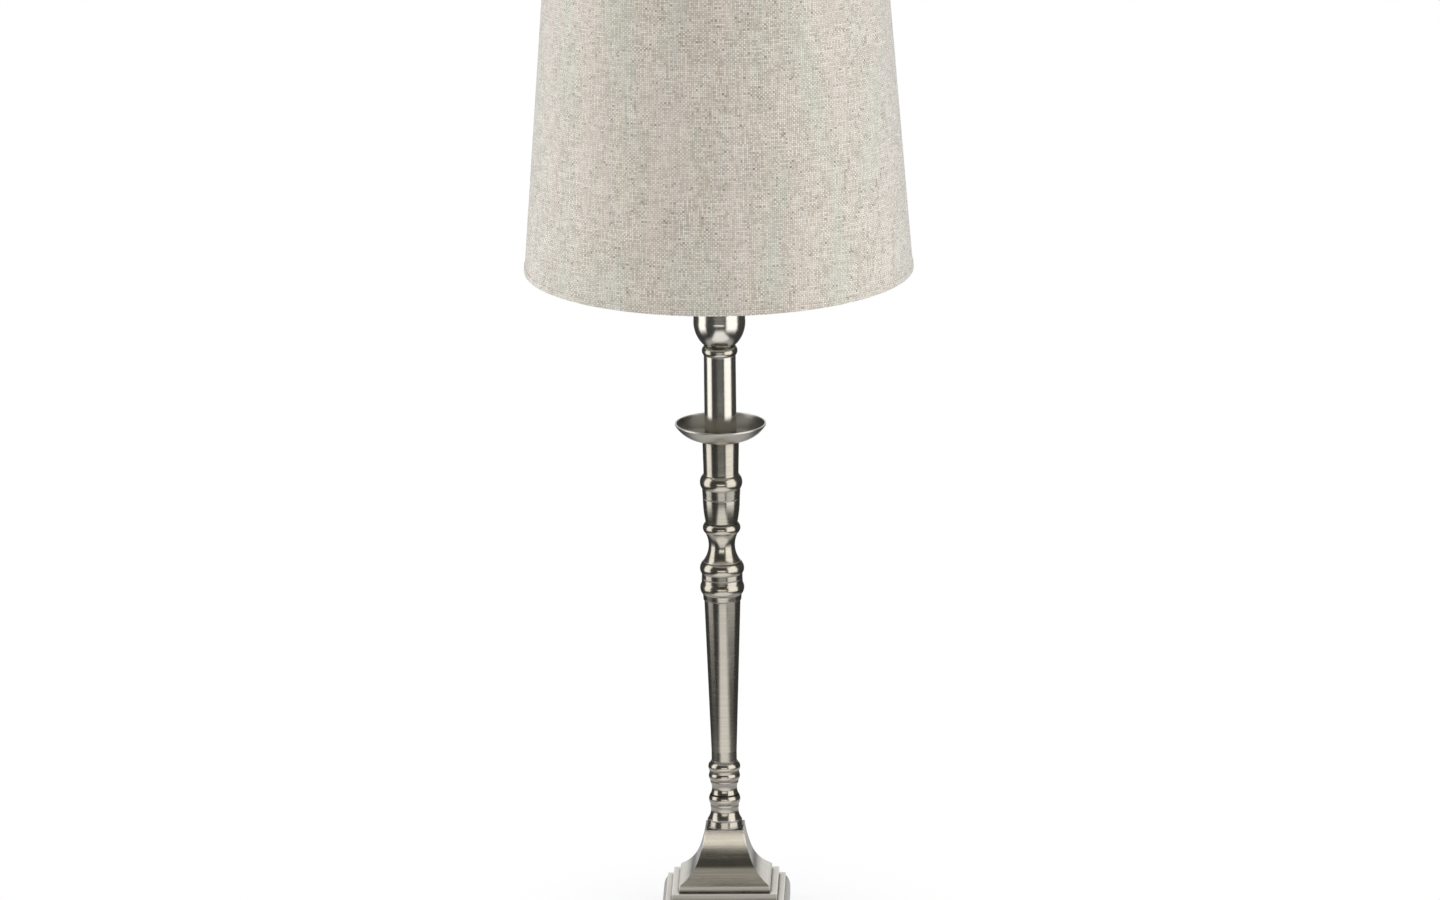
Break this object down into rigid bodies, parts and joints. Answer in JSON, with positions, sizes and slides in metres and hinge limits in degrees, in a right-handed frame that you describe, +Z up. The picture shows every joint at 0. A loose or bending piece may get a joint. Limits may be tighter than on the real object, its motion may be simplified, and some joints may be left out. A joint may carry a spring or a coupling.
{
  "type": "candlestick lamp",
  "caption": "Tall candlestick table lamp: square stepped foot, turned column with drip pan, screw lampholder and a tapered linen shade.",
  "frame": {"origin": "centre of the felt's underside, on the surface the lamp stands on", "axes": "+Z up along the column; +Y to the back, where the cord inlet is; +X to the right seen from the front"},
  "size_m": [0.301, 0.301, 0.7855],
  "materials": {
    "antique_nickel": "antique nickel plate, brushed, dark in the recesses",
    "felt": "black wool felt",
    "zinc_steel": "zinc-plated steel",
    "cast_iron": "rough cast",
    "black_plastic": "moulded",
    "white_plastic": "moulded",
    "contact_brass": "bright",
    "holder_plastic": "black moulded, semi-gloss",
    "porcelain": "glazed",
    "shell_nickel": "nickel-plated",
    "linen": "natural linen, plain weave",
    "shade_lining": "white laminate",
    "white_wire": "white coated wire",
    "hem_tape": "linen tape",
    "clear_glass": "clear",
    "cap_nickel": "nickel-plated",
    "black_glass": "opaque black",
    "phosphor": "yellow phosphor",
    "brown_lead": "insulated wire",
    "blue_lead": "insulated wire",
    "green_lead": "insulated wire, green and yellow"
  },
  "bodies": {
    "stand": {"base_casting": "antique_nickel", "foot_ring": "antique_nickel", "flared_foot": "antique_nickel", "lower_knop": "antique_nickel", "double_bead": "antique_nickel", "tapered_column": "antique_nickel", "lower_collar": "antique_nickel", "upper_collar": "antique_nickel", "waisted_baluster": "antique_nickel", "vase_section": "antique_nickel", "candle_socket": "antique_nickel", "drip_pan": "antique_nickel", "candle_tube": "antique_nickel", "tube_bead_ring": "antique_nickel", "holder_cup": "antique_nickel", "felt_pad": "felt", "base_cover": "zinc_steel", "cover_screws": "zinc_steel", "ballast_weight": "cast_iron", "cord_bushing": "black_plastic", "terminal_block": "white_plastic", "terminal_screws": "zinc_steel", "threaded_rod": "zinc_steel", "rod_washer": "zinc_steel", "earth_tag": "contact_brass", "rod_lock_washer": "zinc_steel", "rod_nut": "zinc_steel", "cup_washer": "zinc_steel", "cup_nut": "zinc_steel", "holder_base": "holder_plastic", "holder_skirt": "holder_plastic", "contact_carrier": "porcelain", "centre_contact": "contact_brass", "side_contact": "contact_brass", "contact_screws": "contact_brass", "screw_shell": "shell_nickel", "live_lead": "brown_lead", "neutral_lead": "blue_lead", "earth_lead": "green_lead"},
    "ring_carrier": {"lower_shade_ring": "holder_plastic"},
    "shade": {"shade_spider": "white_wire", "bottom_wire": "white_wire", "top_wire": "white_wire", "shade_liner": "shade_lining", "shade_fabric": "linen", "bottom_hem": "hem_tape", "top_hem": "hem_tape"},
    "upper_ring": {"upper_shade_ring": "holder_plastic"},
    "bulb_envelope": {"bulb_glass": "clear_glass"},
    "bulb": {"bulb_cap": "cap_nickel", "bulb_insulator": "black_glass", "bulb_contact": "cap_nickel", "bulb_stem": "clear_glass", "filament_frame": "cap_nickel", "filaments": "phosphor"}
  },
  "joints": [
    {"name": "shade_height", "type": "slide", "parent": "stand", "child": "ring_carrier", "axis": [0, 0, 1], "range_m": [-0.01, 0.002]},
    {"name": "upper_ring_turn", "type": "hinge", "parent": "ring_carrier", "child": "upper_ring", "pos_m": [0, 0, 0.53], "axis": [0, 0, 1], "range_deg": [-1442, 290]},
    {"name": "shade_turn", "type": "hinge", "parent": "ring_carrier", "child": "shade", "pos_m": [0, 0, 0.5257], "axis": [0, 0, 1], "continuous": true},
    {"name": "bulb_lift", "type": "slide", "parent": "stand", "child": "bulb_envelope", "axis": [0, 0, 1], "range_m": [0, 0.01815]},
    {"name": "bulb_turn", "type": "hinge", "parent": "bulb_envelope", "child": "bulb", "pos_m": [0, 0, 0.51], "axis": [0, 0, 1], "range_deg": [0, 1802]}
  ],
  "couplings": [
    {"joint": "upper_ring_turn", "follows": "shade_height", "rad_per_m": 2513.3},
    {"joint": "bulb_turn", "follows": "bulb_lift", "rad_per_m": 1731.4}
  ]
}
